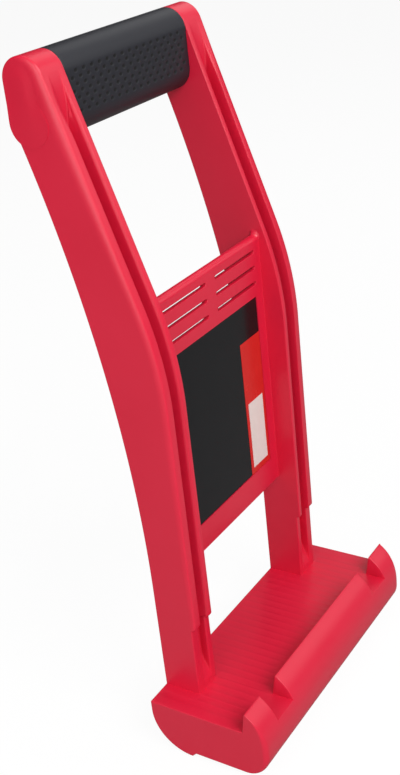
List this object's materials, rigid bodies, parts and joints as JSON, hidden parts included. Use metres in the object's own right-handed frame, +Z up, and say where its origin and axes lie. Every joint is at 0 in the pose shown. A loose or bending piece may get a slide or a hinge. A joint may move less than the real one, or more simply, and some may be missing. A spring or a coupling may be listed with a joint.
{
  "type": "panel carrier",
  "caption": "Hand carrier for boards and panels: a hooked foot tray under two channel arms that lean back to an oval grip, with a slotted web between the arms.",
  "frame": {"origin": "middle of the whole part in X and Y, at the lowest line of the rounded heel in Z", "axes": "+Z up, +X along the grip to the right of a person who looks at the front, and the tray's lip towards -Y"},
  "size_m": [0.162, 0.1098, 0.3545],
  "materials": {
    "body_abs": "moulded red ABS, satin",
    "screw_steel": "zinc-plated",
    "core_nylon": "moulded black nylon",
    "grip_rubber": "dimpled dark grey soft rubber",
    "label_film": "glossy black film",
    "label_colour": "glossy red print",
    "label_patch": "off-white write-on print"
  },
  "bodies": {
    "root": {"left_arm": "body_abs", "right_arm": "body_abs", "web_panel": "body_abs", "foot_tray": "body_abs", "base_cover": "body_abs", "left_end_cap": "body_abs", "right_end_cap": "body_abs", "base_screws": "screw_steel", "leg_screws": "screw_steel", "handle_screws": "screw_steel", "handle_core": "core_nylon", "grip_sleeve": "grip_rubber", "label_sheet": "label_film", "label_colour_block": "label_colour", "label_write_on_patch": "label_patch"}
  },
  "joints": []
}
